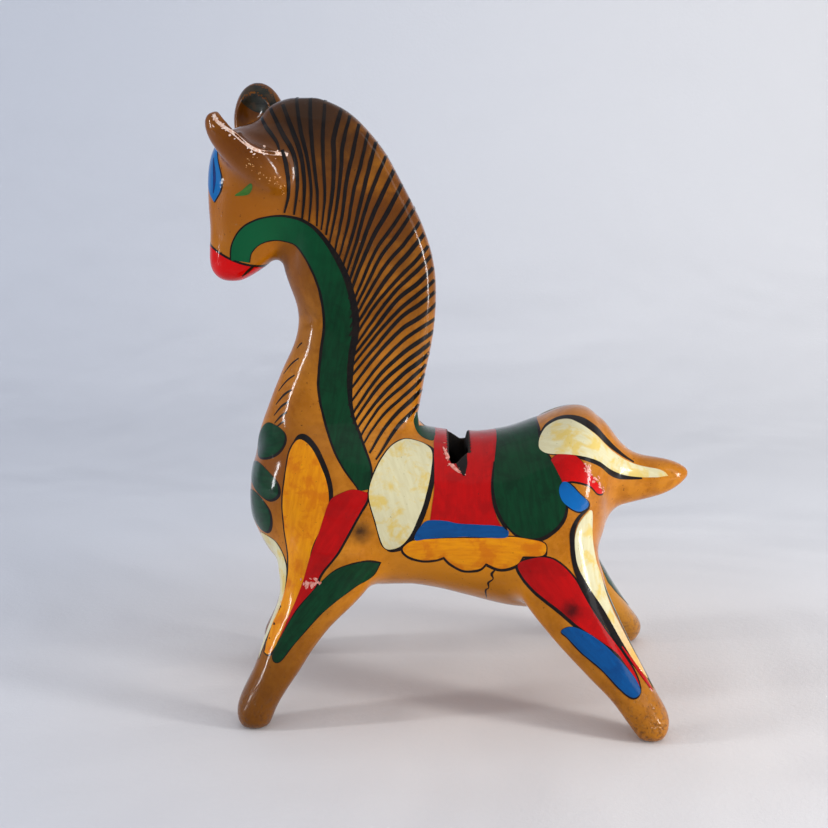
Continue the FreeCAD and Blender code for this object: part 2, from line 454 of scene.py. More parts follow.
# ---- paint ----
FILM = 0.045 * MM  # how far a coat of paint stands above what is under it
FILM_ROOT = 0.08 * MM  # how deep the film's hidden side sits in the clay
EDGE_STEP = 0.45  # mm between the points of an edge
FILL_STEP = 0.8  # mm between the points inside a patch
EDGE_WOBBLE = 0.07  # mm that a brushed edge wanders
LONGEST = 4.0  # mm: a longer side would bridge a hollow
REACH = 200.0  # mm from the middle of the horse to the painter's eye
WRAP_REACH = 34.0  # mm from the barrel's middle to an eye that goes round it
HIP_HEIGHT = 42.0  # mm: below this the right legs stand further back than the left ones
ROW_STEP = 0.87  # height of an even triangle, as a share of its side
RIM_CLEAR = 0.45  # how near to an edge a point inside may be, as a share of the step
HAND_WAVE = 2.5  # mm over which a brushed edge wanders one way
BLEND_NEAR = 0.02 * MM  # keeps a corner's share of the normal finite where a point meets it


class Painter:
    """Looks at the horse from one side: points are mm to the painter's right and mm up."""
    turned = False

    def __init__(self, azimuth=0.0, elevation=0.0):
        a, e = math.radians(azimuth), math.radians(elevation)
        self.right = np.array((math.cos(a), math.sin(a), 0.0))
        self.back = np.array((math.sin(a) * math.cos(e), -math.cos(a) * math.cos(e), math.sin(e)))
        self.up = np.cross(self.back, self.right)

    def ray(self, point):
        return (self.right * point[0] + self.up * point[1] + self.back * REACH) * MM, -self.back


class Wrapper:
    """Paints round the barrel: points are mm along it and mm of arc down its left side from the top."""
    turned = True

    def ray(self, point):
        a = point[1] / BARREL_RADIUS
        out = np.array((0.0, -math.sin(a), math.cos(a)))
        middle = np.array((point[0], 0.0, BARREL_AXIS))
        return (middle + out * WRAP_REACH) * MM, -out


SIDE = Painter()
ROUND = Wrapper()
RUMP = Painter(0, 35)
HAUNCH = Painter(25)
HOCK = Painter(50)
SHIN = Painter(-50)
BREAST = Painter(-45)
CHEST = Painter(-55)
FACE = Painter(-60)
EAR = Painter(-25, 5)


def smooth_run(points, step, closed=False):
    """Points along a smooth curve through the given ones. A point given twice is a sharp corner."""
    count = len(points)
    points = [np.array(p, float) for p in points]
    found = []
    for i in range(count if closed else count - 1):
        near = [k % count if closed else min(max(k, 0), count - 1) for k in (i - 1, i, i + 1, i + 2)]
        before, start, end, after = (points[k] for k in near)
        length = np.linalg.norm(end[:2] - start[:2])
        pieces = math.ceil(length / step)
        for k in range(pieces):
            t = k / pieces
            found.append(0.5 * (2 * start + (end - before) * t
                                + (2 * before - 5 * start + 4 * end - after) * t ** 2
                                + (3 * start - before - 3 * end + after) * t ** 3))
    if not closed:
        found.append(points[-1])
    return found


def ring(points):
    """A patch's closed edge."""
    return smooth_run(points, EDGE_STEP, True)


def both_sides(points):
    """A closed edge that crosses the horse's back, from its left half given from front to rear."""
    return ring(points + [(x, -down) for x, down in reversed(points)])


def stroke(points, left=(0.0,), right=(0.0,)):
    """The closed edge of a brush stroke along (across, up, width) points, widened on either hand by amounts
    that are spaced evenly along it."""
    line = smooth_run(points, EDGE_STEP)
    share = np.linspace(0, 1, len(line))
    left = np.interp(share, np.linspace(0, 1, len(left)), left)
    right = np.interp(share, np.linspace(0, 1, len(right)), right)
    sides = [[], []]
    for i, p in enumerate(line):
        way = line[min(i + 1, len(line) - 1)][:2] - line[max(i - 1, 0)][:2]
        out = np.array((-way[1], way[0])) / np.linalg.norm(way)
        sides[0].append(p[:2] + out * (p[2] / 2 + left[i]))
        sides[1].append(p[:2] - out * (p[2] / 2 + right[i]))
    return sides[0] + sides[1][::-1]


def grown(edge, even, more=0.0, way=0.0):
    """The edge moved outward by even mm all round, and by up to more mm towards way (degrees)."""
    area = sum(a[0] * b[1] - b[0] * a[1] for a, b in zip(edge, edge[1:] + edge[:1]))
    side = math.copysign(1.0, area)
    lead = np.array((math.cos(math.radians(way)), math.sin(math.radians(way))))
    moved = []
    for i, p in enumerate(edge):
        along = edge[(i + 1) % len(edge)] - edge[i - 1]
        out = np.array((along[1], -along[0])) * side / (np.linalg.norm(along) + 1e-9)
        moved.append(p + out * (even + more * max(0.0, out @ lead)))
    return moved


def wandering(edge, seed):
    """The edge as a hand leaves it, a little uneven."""
    moved = []
    for p in edge:
        at = Vector((p[0] / HAND_WAVE, p[1] / HAND_WAVE, seed * 3.7))
        shift = (noise.noise(at), noise.noise(at + Vector((9, 5, 0))))
        moved.append(p + np.array(shift) * EDGE_WOBBLE)
    return moved


def inside(points, edge):
    """Which of the points are inside the closed edge."""
    start = np.array(edge)
    end = np.roll(start, -1, axis=0)
    x, y = points[:, :1], points[:, 1:]
    rise = np.where(end[:, 1] == start[:, 1], 1.0, end[:, 1] - start[:, 1])
    across = start[:, 0] + (y - start[:, 1]) / rise * (end[:, 0] - start[:, 0])
    crossed = ((start[:, 1] > y) != (end[:, 1] > y)) & (x < across)
    return crossed.sum(axis=1) % 2 == 1


def filled(edge, holes):
    """Triangles inside the edge and outside the holes, as flat points and corners."""
    points, links = [], []
    for loop in [edge] + holes:
        first = len(points)
        points += [Vector(p) for p in loop]
        links += [(first + i, first + (i + 1) % len(loop)) for i in range(len(loop))]
    rim = np.array([tuple(p) for p in points])
    low, high = rim.min(axis=0), rim.max(axis=0)
    grid = []
    for row, y in enumerate(np.arange(low[1], high[1], FILL_STEP * ROW_STEP)):
        grid += [(x, y) for x in np.arange(low[0] + (row % 2) * FILL_STEP / 2, high[0], FILL_STEP)]
    if grid:
        grid = np.array(grid)
        clear = np.abs(grid[:, None] - rim).max(axis=2).min(axis=1) > FILL_STEP * RIM_CLEAR
        points += [Vector(p) for p in grid[clear & inside(grid, edge)]]
    flat, _, faces, *_ = geometry.delaunay_2d_cdt(points, links, [], 0, 1e-5)
    flat = np.array([tuple(p) for p in flat])
    middles = np.array([flat[list(face)].mean(axis=0) for face in faces])
    kept = inside(middles, edge)
    for hole in holes:
        kept &= ~inside(middles, hole)
    return flat, [tuple(face) for face, keep in zip(faces, kept) if keep]


def on_skin(painter, flat, mirrored, lean):
    """Where the flat points land on the skin, and its smooth normals there. A miss is None."""
    places, normals = [], []
    for p in flat:
        shift = lean * min(max(1 - p[1] / HIP_HEIGHT, 0.0), 1.0) if mirrored else 0.0
        start, way = painter.ray((p[0] + shift, p[1]))
        if mirrored:
            start, way = start * (1, -1, 1), way * (1, -1, 1)
        place, _, face, _ = SKIN_TREE.ray_cast(Vector(start), Vector(way))
        if place is None:
            places.append(None)
            normals.append(None)
            continue
        corners = QUADS[face]
        share = 1 / (np.linalg.norm(SKIN[corners] - np.array(place), axis=1) + BLEND_NEAR)
        normal = (SKIN_NORMALS[corners] * share[:, None]).sum(axis=0)
        places.append(np.array(place))
        normals.append(normal / np.linalg.norm(normal))
    return places, normals


def film_object(name, slot, places, normals, faces, coat, brush):
    """A thin closed film over the given faces of the skin."""
    steps = {(a, b) for face in faces for a, b in zip(face, face[1:] + face[:1])}
    rim = [(a, b) for a, b in sorted(steps) if (b, a) not in steps]
    used = sorted({i for face in faces for i in face})
    number = {old: new for new, old in enumerate(used)}
    count = len(used)
    top = [places[i] + normals[i] * (FILM * coat) for i in used]
    under = [places[i] - normals[i] * FILM_ROOT for i in used]
    made = [tuple(number[i] for i in face) for face in faces]
    made += [tuple(number[i] + count for i in reversed(face)) for face in faces]
    made += [(number[b], number[a], number[a] + count, number[b] + count) for a, b in rim]
    mesh = bpy.data.meshes.new(name)
    mesh.from_pydata([tuple(p) for p in top + under], [], made)
    mesh.shade_smooth()
    mesh.normals_split_custom_set_from_vertices([tuple(normals[i]) for i in used] * 2)
    grain = mesh.attributes.new("brush", "FLOAT_VECTOR", "POINT")
    grain.data.foreach_set("vector", np.array([brush[i] for i in used] * 2, float).ravel())
    mesh.materials.append(PAINTS[slot])
    ride(new_object(name, mesh))


def film(name, painter, edges, slot, coat=2, holes=(), grain=0.0, mirrored=False, lean=0.0):
    """Painted patches in one colour. coat is how many films up they lie, and grain is the brush's way in
    degrees. lean is how many mm further back a mirrored patch stands at the foot."""
    seed = sum(ord(letter) for letter in name) % 97
    c, s = math.cos(math.radians(grain)), math.sin(math.radians(grain))
    places, normals, faces, brush = [], [], [], []
    for number, edge in enumerate(edges):
        flat, cells = filled(wandering(edge, seed), list(holes))
        here, upright = on_skin(painter, flat, mirrored, lean)
        first = len(places)
        for cell in cells:
            if any(here[i] is None for i in cell):
                continue
            sides = [np.linalg.norm(here[a] - here[b]) for a, b in zip(cell, cell[1:] + cell[:1])]
            if max(sides) < LONGEST * MM:
                cell = tuple(first + i for i in cell)
                faces.append(tuple(reversed(cell)) if mirrored != painter.turned else cell)
        places += here
        normals += upright
        brush += [(p[0] * c + p[1] * s, p[1] * c - p[0] * s, (seed + number) * 10.0) for p in flat]
    film_object(name, slot, places, normals, faces, coat, brush)


def twins(name, painter, edges, slot, **settings):
    """The same patches on the left side and on the right."""
    film(name + "_left", painter, edges, slot, **settings)
    film(name + "_right", painter, edges, slot, mirrored=True, **settings)


def outlined(name, painter, edges, slot, rim, under=1, lean=0.0, **settings):
    """Twin patches over a black outline. rim is its width in mm all round, how much more there is towards
    one way, and that way in degrees. under is its coat."""
    wider = [grown(edge, *rim) for edge in edges]
    twins(name + "_outline", painter, wider, "paint_black", coat=under, lean=lean)
    twins(name, painter, edges, slot, lean=lean, **settings)


def dipped(name, fields, slot, coat):
    """A film over the skin wherever every field, a formula of a place in mm, is below zero."""
    places, normals, polygons = list(SKIN), list(SKIN_NORMALS), QUADS
    for field in fields:
        values = field(*(np.array(places).T / MM))
        cut, clipped = {}, []
        for polygon in polygons:
            if min(values[i] for i in polygon) >= 0:
                continue
            corners = []
            for a, b in zip(polygon, [*polygon[1:], polygon[0]]):
                if values[a] < 0:
                    corners.append(a)
                if (values[a] < 0) != (values[b] < 0):
                    key = (min(a, b), max(a, b))
                    if key not in cut:
                        t = values[key[0]] / (values[key[0]] - values[key[1]])
                        cut[key] = len(places)
                        places.append(places[key[0]] * (1 - t) + places[key[1]] * t)
                        normals.append(normals[key[0]] * (1 - t) + normals[key[1]] * t)
                    corners.append(cut[key])
            clipped.append(tuple(corners))
        polygons = clipped
    brush = {i: (places[i][0] / MM, places[i][2] / MM, 5.0) for face in polygons for i in face}
    film_object(name, slot, places, normals, polygons, coat, brush)


CHIP_CORNERS = 7
CHIP_FLATNESS = 0.55  # a chip's width as a share of its length


def speckles(path, count, size, spread, seed):
    """Edges of small irregular chips scattered along (across, up) points."""
    draw = random.Random(seed)
    line = smooth_run([(*p, 0.0) for p in path], 0.2)
    edges = []
    for _ in range(count):
        middle = line[draw.randrange(len(line))][:2]
        middle = middle + np.array((draw.gauss(0, spread), draw.gauss(0, spread)))
        reach = size * draw.uniform(0.4, 1.3)
        turn = draw.uniform(0, math.pi)
        corners = []
        for k in range(CHIP_CORNERS):
            a = k * math.tau / CHIP_CORNERS
            flat = np.array((math.cos(a), math.sin(a) * CHIP_FLATNESS)) * reach * draw.uniform(0.6, 1.2)
            corners.append(middle + (flat[0] * math.cos(turn) - flat[1] * math.sin(turn),
                                     flat[0] * math.sin(turn) + flat[1] * math.cos(turn)))
        edges.append(smooth_run(corners, 0.25, True))
    return edges


# ---- paint materials ----
def paint_material(name, deep, bright, blush, blotch=0.5, bare=0.1, stains=()):
    """Brushed paint: streaks along the brush's way, blotches of a second tone, thin spots and specks."""
    look = Recipe(name)
    where = look.place()
    brush = look.node("Attribute", attribute_name="brush").outputs["Vector"]
    drawn = look.node("VectorMath", {0: brush, 1: (0.16, 0.9, 1.0)}, operation="MULTIPLY").outputs["Vector"]
    bristles = look.noise(drawn, 1.0, 4.0, 0.6)
    base = look.mix(look.ramp(bristles, 0.3, 0.7), shade(deep), shade(bright))
    pools = look.ramp(look.noise(where, 0.2, 4.0, 0.6, 0.4), 0.46, 0.64)
    base = look.mix(look.times(pools, blotch), base, shade(blush))
    thin = look.ramp(look.noise(drawn, 2.3, 5.0, 0.7), 0.66, 0.8)
    base = look.mix(look.times(thin, bare), base, shade((120, 74, 24)))
    specks = look.ramp(look.noise(where, 1.3, 2.0, 0.6), 0.7, 0.76)
    base = look.mix(look.times(specks, 0.6), base, shade((24, 18, 14)))
    for centre, radius, tone in stains:
        base = look.stain_and_painted_light(where, base, centre, radius, tone)
    look.fill(look.shader, {"Base Color": base})
    varnish(look, where, look.bump(bristles, 0.25, 0.05 * MM))
    return look.material


def slip_and_highlight_material(name, pale, warm):
    """The pale, dull slip where paint or varnish has chipped off, also used for the pale line along the near
    ear's rim, which is a painted highlight.
    """
    look = Recipe(name)
    where = look.place()
    patches = look.ramp(look.noise(where, 1.4, 4.0, 0.7), 0.35, 0.65)
    base = look.mix(patches, shade(pale), shade(warm))
    normal = look.bump(look.noise(where, 2.2, 3.0), 0.6, 0.12 * MM)
    look.fill(look.shader, {"Base Color": base, "Roughness": 0.6, "Normal": normal})
    return look.material


BRUSHED = {  # the settings of paint_material for each slot and its variants
    "paint_black": ("brushed_black", (8, 5, 5), (20, 13, 10), (30, 18, 10), 0.5, 0.3),
    "paint_black+smoke": ("smoked_black", (20, 22, 18), (44, 44, 34), (70, 50, 30), 0.6, 0.5),
    "paint_red": ("brushed_red", (160, 0, 0), (174, 0, 0), (138, 0, 0), 0.5, 0.03, [
        ((-60.0, -8.0, 117.0), 18.0, (206, 0, 0)),
        ((34.0, -14.0, 62.0), 12.0, (204, 0, 0)),
        ((30.6, -28.5, 32.3), 4.4, (26, 2, 2)),
    ]),
    "paint_green": ("brushed_green", (0, 42, 19), (0, 55, 27), (0, 34, 14), 0.6, 0.05, [
        ((-54.0, -14.0, 126.0), 32.0, (0, 84, 46)),
    ]),
    "paint_green+leaf": ("thin_green", (40, 92, 30), (62, 110, 40), (80, 100, 34), 0.5, 0.4),
    "paint_blue": ("brushed_blue", (0, 62, 116), (0, 71, 128), (0, 52, 104), 0.6, 0.05, [
        ((-62.0, -8.0, 144.0), 26.0, (0, 96, 158)),
        ((30.0, -22.0, 57.0), 16.0, (0, 92, 160)),
    ]),
    "paint_blue+deep": ("deep_blue", (0, 34, 92), (0, 44, 108), (0, 30, 80)),
    "paint_yellow": ("brushed_yellow", (204, 120, 0), (220, 142, 0), (190, 96, 0), 0.7, 0.25),
    "paint_cream": ("brushed_cream", (198, 189, 149), (206, 199, 160), (206, 174, 72), 0.75, 0.04, [
        ((44.0, -26.0, 13.0), 20.0, (226, 150, 40)),
    ]),
}
CHIPPED_AND_HIGHLIGHT = {
    "clay+scuff": ("golden_scuff", (216, 168, 104), (188, 120, 50)),
    "clay+chip": ("pink_chip", (222, 160, 146), (184, 96, 78)),
    # for the near ear's rim: chips of wear and a pale line that is a painted highlight
    "clay+slip": ("bare_slip_and_highlight", (232, 214, 200), (202, 150, 118)),
}
PAINTS = {slot: paint_material(*settings) for slot, settings in BRUSHED.items()}
PAINTS |= {slot: slip_and_highlight_material(*settings) for slot, settings in CHIPPED_AND_HIGHLIGHT.items()}


# ---- the painted decoration ----
def lip_line(x, y, z):
    return z - (123.3 - 0.66 * (x + 63) + 0.022 * (x + 63) ** 2)


def behind_jaw(x, y, z):
    return x + 48.5


def below_chin(x, y, z):
    return 108.0 - z


def paint_head():
    dipped("lip_line", [behind_jaw, below_chin, lambda x, y, z: lip_line(x, y, z) - 0.65], "paint_black", 1)
    dipped("muzzle", [behind_jaw, below_chin, lip_line], "paint_red", 2)
    mouth = stroke([(-52.2, 119.2, 0.6), (-53.8, 117.6, 0.7), (-55.4, 116.2, 0.3)])
    twins("mouth_corner", SIDE, [mouth], "paint_black", coat=3)
    eye = ring([
        (-29.2, 150.5), (-26.8, 149.8), (-24.3, 146.8), (-22.4, 142.5), (-22.8, 139), (-25.6, 135.8),
        (-25.6, 135.8), (-28, 138), (-30.2, 141), (-30.8, 145.5),
    ])
    outlined("eye", FACE, [eye], "paint_blue", (0.12, 0.4, -10), grain=90)
    streak = stroke([(-26.4, 147, 0.3), (-25.2, 144, 1.1), (-24.8, 141, 1.1), (-25.6, 138, 0.3)])
    twins("eye_streak", FACE, [streak], "paint_blue+deep", coat=3)
    dab = ring([(-56.2, 137.8), (-54, 139.4), (-52, 141.2), (-51.4, 140.4), (-52.3, 138.4), (-54.2, 137.8)])
    twins("cheek_dab", SIDE, [dab], "paint_green+leaf", grain=30)
    dish = ring([
        (-56.6, 161.6), (-54.8, 166.4), (-51, 168.6), (-46.4, 167.6), (-43.6, 163.6), (-44.4, 158.8),
        (-48.6, 156.4), (-52.6, 156.2), (-55.8, 158.2),
    ])
    film("ear_dish", EAR, [dish], "paint_black+smoke", coat=1)


REIN = [
    (-55.6, 120.3, 4.6), (-55, 123.8, 5.2), (-52.6, 127, 5.8), (-48.6, 128.8, 6), (-43.7, 128.9, 6.3),
    (-38.8, 127, 6.2), (-34.8, 121.8, 6.3), (-31.7, 115, 6.6), (-30.2, 108, 6.9), (-30, 102.6, 7),
    (-31, 96, 6.8), (-31.5, 87.5, 7.1), (-30.2, 79.5, 6.6), (-27.2, 72.6, 6.6), (-24.2, 67, 5.4),
    (-23.2, 62.8, 2.2),
]


def paint_rein():
    outline = stroke(REIN, (0.4, 0.5, 1.5, 1.9, 1.7, 0.7, 0.5), (0.3, 0.3, 0.7, 0.8, 0.6, 0.4))
    twins("rein_outline", SIDE, [outline], "paint_black", coat=1)
    twins("rein", SIDE, [stroke(REIN)], "paint_green", grain=80)


# Strokes of hair from the crest to the rein, each with how many more fill the gap after it.
MANE = [
    (0, ((-49.6, 157.2), (-48, 155), (-46.6, 153), (-45.4, 151.2), (-44.4, 149.4))),
    (0, ((-43.6, 149.2), (-42.8, 146), (-42.5, 142), (-42.6, 138), (-43.6, 133.2))),
    (2, ((-47, 158.5), (-43.5, 153), (-41, 148), (-40, 141), (-41, 132.5))),
    (1, ((-37, 162), (-36.7, 154), (-36, 147), (-35, 138), (-35.5, 130))),
    (3, ((-29.3, 158.5), (-30.7, 152), (-31, 146.5), (-31.3, 137.5), (-33, 127.5))),
    (3, ((-20, 150.8), (-22, 143.5), (-24, 136.5), (-26, 127.5), (-28.8, 119))),
    (3, ((-11, 137), (-15.5, 130), (-20, 123.5), (-24, 115), (-27, 108))),
    (3, ((-5.4, 125.5), (-10, 120), (-15.5, 115), (-21, 108), (-27, 98.8))),
    (2, ((-3.6, 112.4), (-9, 108.5), (-14, 105), (-20.5, 98), (-27.8, 89.3))),
    (3, ((-4.2, 101.4), (-8.5, 99), (-13.5, 95.5), (-20, 89.5), (-27.2, 79.5))),
    (1, ((-6.6, 90.5), (-9.5, 87.5), (-13.5, 84), (-18.5, 79.5), (-23.8, 73.2))),
    (0, ((-9, 81.5), (-11.5, 79), (-14.2, 76.8), (-17, 74), (-20.4, 69.8))),
]
HAIR_TIP = 0.14  # share of the first step by which each stroke runs on over the crest
HAIR_WIDTHS = (0.85, 1.05, 0.95, 0.8, 0.45)  # mm, from the crest to the rein
HAIR_STRAY = 0.2  # mm that each point of a stroke may be off its line


def paint_mane():
    draw = random.Random(4)
    hairs = []
    for (between, first), (_, after) in zip(MANE, MANE[1:] + MANE[-1:]):
        for k in range(between + 1):
            share = k / (between + 1)
            stretch = draw.uniform(0.85, 1.15)
            hair = []
            for a, b, width in zip(first, after, HAIR_WIDTHS):
                x, z = np.array(a) * (1 - share) + np.array(b) * share
                stray = [draw.uniform(-HAIR_STRAY, HAIR_STRAY) for _ in range(2)]
                hair.append((x + stray[0], z + stray[1], width * stretch))
            tip = np.array(hair[0]) + (np.array(hair[0]) - np.array(hair[1])) * HAIR_TIP
            hairs.append(stroke([(*tip[:2], hair[0][2]), *hair]))
    twins("mane_hair", SIDE, hairs, "paint_black", coat=3, grain=-60)


CHEST_HAIR_END = -24.4  # mm across: where the strokes above the leaves end
CHEST_HAIRS = [  # mm: how high each one ends, its length and its width
    (98.5, 2.0, 0.35),
    (94.5, 5.6, 0.4),
    (90.2, 5.8, 0.4),
    (86.4, 5.4, 0.5),
    (83.4, 5.0, 0.5),
    (80.6, 4.0, 0.45),
    (78.4, 3.4, 0.4),
]


def paint_chest():
    leaves = [
        ring([
            (-28, 73.4), (-24, 76.8), (-17.5, 76.2), (-14.2, 73.2), (-15.4, 70.2), (-21.5, 68.5),
            (-27.4, 69.6),
        ]),
        ring([
            (-28.4, 65.2), (-22, 67), (-16, 66.2), (-11.8, 63.8), (-10.9, 60.8), (-13.6, 58.9), (-18, 59.6),
            (-23.5, 61.2), (-28.4, 62.4),
        ]),
        ring([
            (-28, 57), (-23.5, 59.3), (-17.8, 59), (-14, 56), (-14, 52), (-16.6, 49.4), (-21.5, 49.8),
            (-27, 52.6),
        ]),
    ]
    outlined("chest_leaf", CHEST, leaves, "paint_green", (0.1, 0.8, -25), grain=10)
    hairs = []
    for up, length, thick in CHEST_HAIRS:
        hairs.append(stroke([(CHEST_HAIR_END, up, thick),
                             (CHEST_HAIR_END - length * 0.45, up - length * 0.32, thick * 1.3),
                             (CHEST_HAIR_END - length * 0.9, up - length * 0.85, thick * 0.6)]))
    twins("chest_hair", BREAST, hairs, "paint_black", coat=1)


def paint_saddle():
    panel = both_sides([
        (-4.6, 0), (-5, 8), (-5, 22), (-5.6, 27), (-6.2, 31.8), (-6.2, 31.8), (3, 32.6), (13, 33.4),
        (13, 33.4), (11.2, 30), (10.3, 24), (10.6, 17.5), (11.6, 8), (12, 0),
    ])
    slot = both_sides([
        (0, 0), (0, 12), (0.4, 15), (1.4, 16), (2.4, 16.1), (3.4, 15.2), (3.9, 10), (3.9, 0),
    ])
    film("saddle_panel", ROUND, [panel], "paint_red", holes=[slot], grain=90)
    blob = both_sides([
        (12, 0), (11.7, 9), (10.6, 17.5), (10.5, 24), (11.7, 28.5), (14.2, 32.6), (17.6, 35.2),
        (21.6, 35.6), (25.4, 33.8), (28.2, 30.8), (29.2, 27.2), (28.4, 22), (25.6, 16.5), (22.9, 11),
        (22.6, 5), (22.2, 0),
    ])
    film("saddle_rear_outline", ROUND, [grown(blob, 0.3, 0.75, 60)], "paint_black", coat=1)
    seam = stroke([(10.8, 15, 0.3), (10.2, 22, 0.7), (11, 27.6, 1), (13, 32, 0.9), (14, 33.6, 0.3)])
    twins("saddle_seam", ROUND, [seam], "paint_black", coat=4)
    film("saddle_rear", ROUND, [blob], "paint_green", grain=80, coat=3)
    front = both_sides([(-11, 0), (-10.4, 3.5), (-8.6, 6.2), (-5.4, 7.6), (-4.5, 4), (-4.5, 0)])
    film("saddle_front", ROUND, [front], "paint_green", grain=80)
    cream = ring([
        (-17.5, 14.2), (-14, 10), (-11, 8.8), (-7.6, 9.6), (-5.6, 12.2), (-5.8, 18), (-7, 24), (-9, 30),
        (-12, 36), (-15, 38.6), (-18.2, 38), (-20.4, 31), (-22, 24.8), (-20.6, 19.8),
    ])
    outlined("saddle_leaf", ROUND, [cream], "paint_cream", (0.3, 1.1, 30), grain=70)
    bar = ring([
        (-6.6, 31), (-2, 31.2), (2, 32), (11.5, 32.5), (14.2, 33.6), (13.6, 35.6), (8, 35.7), (2, 35.6),
        (-6.5, 36), (-9.8, 36.4), (-10, 34.8), (-8.6, 32.6),
    ])
    twins("saddle_bar", ROUND, [bar], "paint_blue", coat=3)
    hem = ring([
        (-13.2, 39.2), (-12.4, 37.6), (-10, 36.4), (-3, 36), (8, 35.9), (15, 35.4), (20, 35.9),
        (23.4, 36.6), (24.2, 37.9), (23.2, 39.6), (18.2, 40.3), (18.2, 40.3), (16.6, 42.6), (12.6, 44.4),
        (8.6, 43), (8.6, 43), (6.8, 44.9), (2.8, 45.6), (-0.6, 43.6), (-2.4, 41.4), (-2.4, 41.4),
        (-4.8, 42.4), (-8.2, 42.6), (-11.6, 41.2),
    ])
    outlined("saddle_hem", ROUND, [hem], "paint_yellow", (0.3, 0.6, 100))


FORE_LEAN = 2.5  # mm that the right legs' patches stand further back at the foot, in front
HIND_LEAN = 2.0  # and behind


def paint_forelegs():
    yellow = ring([
        (-40, 74.6), (-42.6, 72), (-43.8, 66), (-44.6, 59), (-44.2, 51.5), (-43.2, 43), (-44.4, 35),
        (-48, 25.5), (-49.6, 19.8), (-49.6, 19.8), (-47.4, 20.6), (-42.5, 30), (-38.6, 40), (-36.8, 48),
        (-34.4, 53), (-32.5, 59), (-33, 65), (-36.2, 71.8),
    ])
    outlined("shoulder_leaf", SIDE, [yellow], "paint_yellow", (0.4, 1.1, 50), lean=FORE_LEAN, grain=80)
    red = ring([
        (-32.4, 59.6), (-29.5, 62), (-26, 63), (-22.4, 62.2), (-22.4, 62.2), (-22.6, 60.2), (-25, 56),
        (-29.5, 48), (-34.6, 41), (-36.2, 37.2), (-41.2, 31.2), (-46.2, 22.6), (-46.2, 22.6), (-40.4, 35.6),
        (-37.2, 46), (-34.8, 52.4),
    ])
    outlined("foreleg_red", SIDE, [red], "paint_red", (0.05, 0.6, -35), lean=FORE_LEAN, coat=3, grain=55)
    green = ring([
        (-19.4, 42.6), (-19.4, 42.6), (-24, 43.6), (-30.5, 42), (-36.5, 36.5), (-42.5, 28.8), (-47.2, 20.2),
        (-45.6, 18.3), (-41.4, 23.2), (-34, 31), (-26, 36.8), (-21.4, 38.8),
    ])
    outlined("foreleg_green", SIDE, [green], "paint_green", (0.15, 0.45, 40), lean=FORE_LEAN, grain=50)
    cream = ring([
        (-25, 47.8), (-19, 47.6), (-15, 45), (-12.3, 41.8), (-12.1, 37.6), (-12.7, 32.5), (-13.3, 26),
        (-14, 17.5), (-14, 17.5), (-16.5, 22), (-18.5, 28), (-19.6, 34), (-21.2, 40), (-24, 44),
    ])
    outlined("foreleg_cream", SHIN, [cream], "paint_cream", (0.1, 0.4, 0), lean=FORE_LEAN, grain=80)


def paint_rump():
    cream = ring([
        (22.6, 52), (23.2, 55), (25, 58), (28, 59.8), (31, 59.6), (34, 57.6), (38, 54.8), (43, 52.2),
        (48, 50.6), (56, 49.4), (58.2, 48), (58.2, 48), (54, 47.3), (47, 47), (41, 47.5), (33, 48.2),
        (25.5, 49), (23.2, 50.2),
    ])
    over = stroke([
        (23.2, 55.6, 0.7), (25.4, 59.2, 1), (29, 60.9, 1.4), (33.4, 59.6, 2.4), (37.6, 56.9, 2.6),
        (42.6, 53.8, 1.6), (48.8, 51, 0.5),
    ])
    under = stroke([(25, 49, 0.3), (32, 47.9, 0.8), (38, 47.2, 1.4), (44, 46.6, 1.5), (51, 46.8, 0.4)])
    twins("rump_swoosh_outline", RUMP, [over, under], "paint_black", coat=1)
    twins("rump_swoosh", RUMP, [cream], "paint_cream", coat=4, grain=-15)
    red = ring([
        (25.4, 16.8), (27.2, 15.2), (30.5, 15.2), (33.6, 16.8), (36.4, 19.6), (39.5, 22.2), (38, 23.4),
        (35.6, 21.9), (31, 21.4), (28.2, 21.6), (26.6, 19.4),
    ])
    outlined("rump_red", ROUND, [red], "paint_red", (0.1, 0.35, 90), grain=20)
    blue = ring([
        (27.4, 23.6), (28.2, 21.8), (29.4, 21.6), (31, 22.6), (33, 24.4), (35.1, 26.2), (34.8, 27.8),
        (32.8, 28.7), (30.4, 27.8), (28.4, 26.2),
    ])
    outlined("rump_blue", ROUND, [blue], "paint_blue", (0.3, 0.3, 40), coat=4, grain=40)


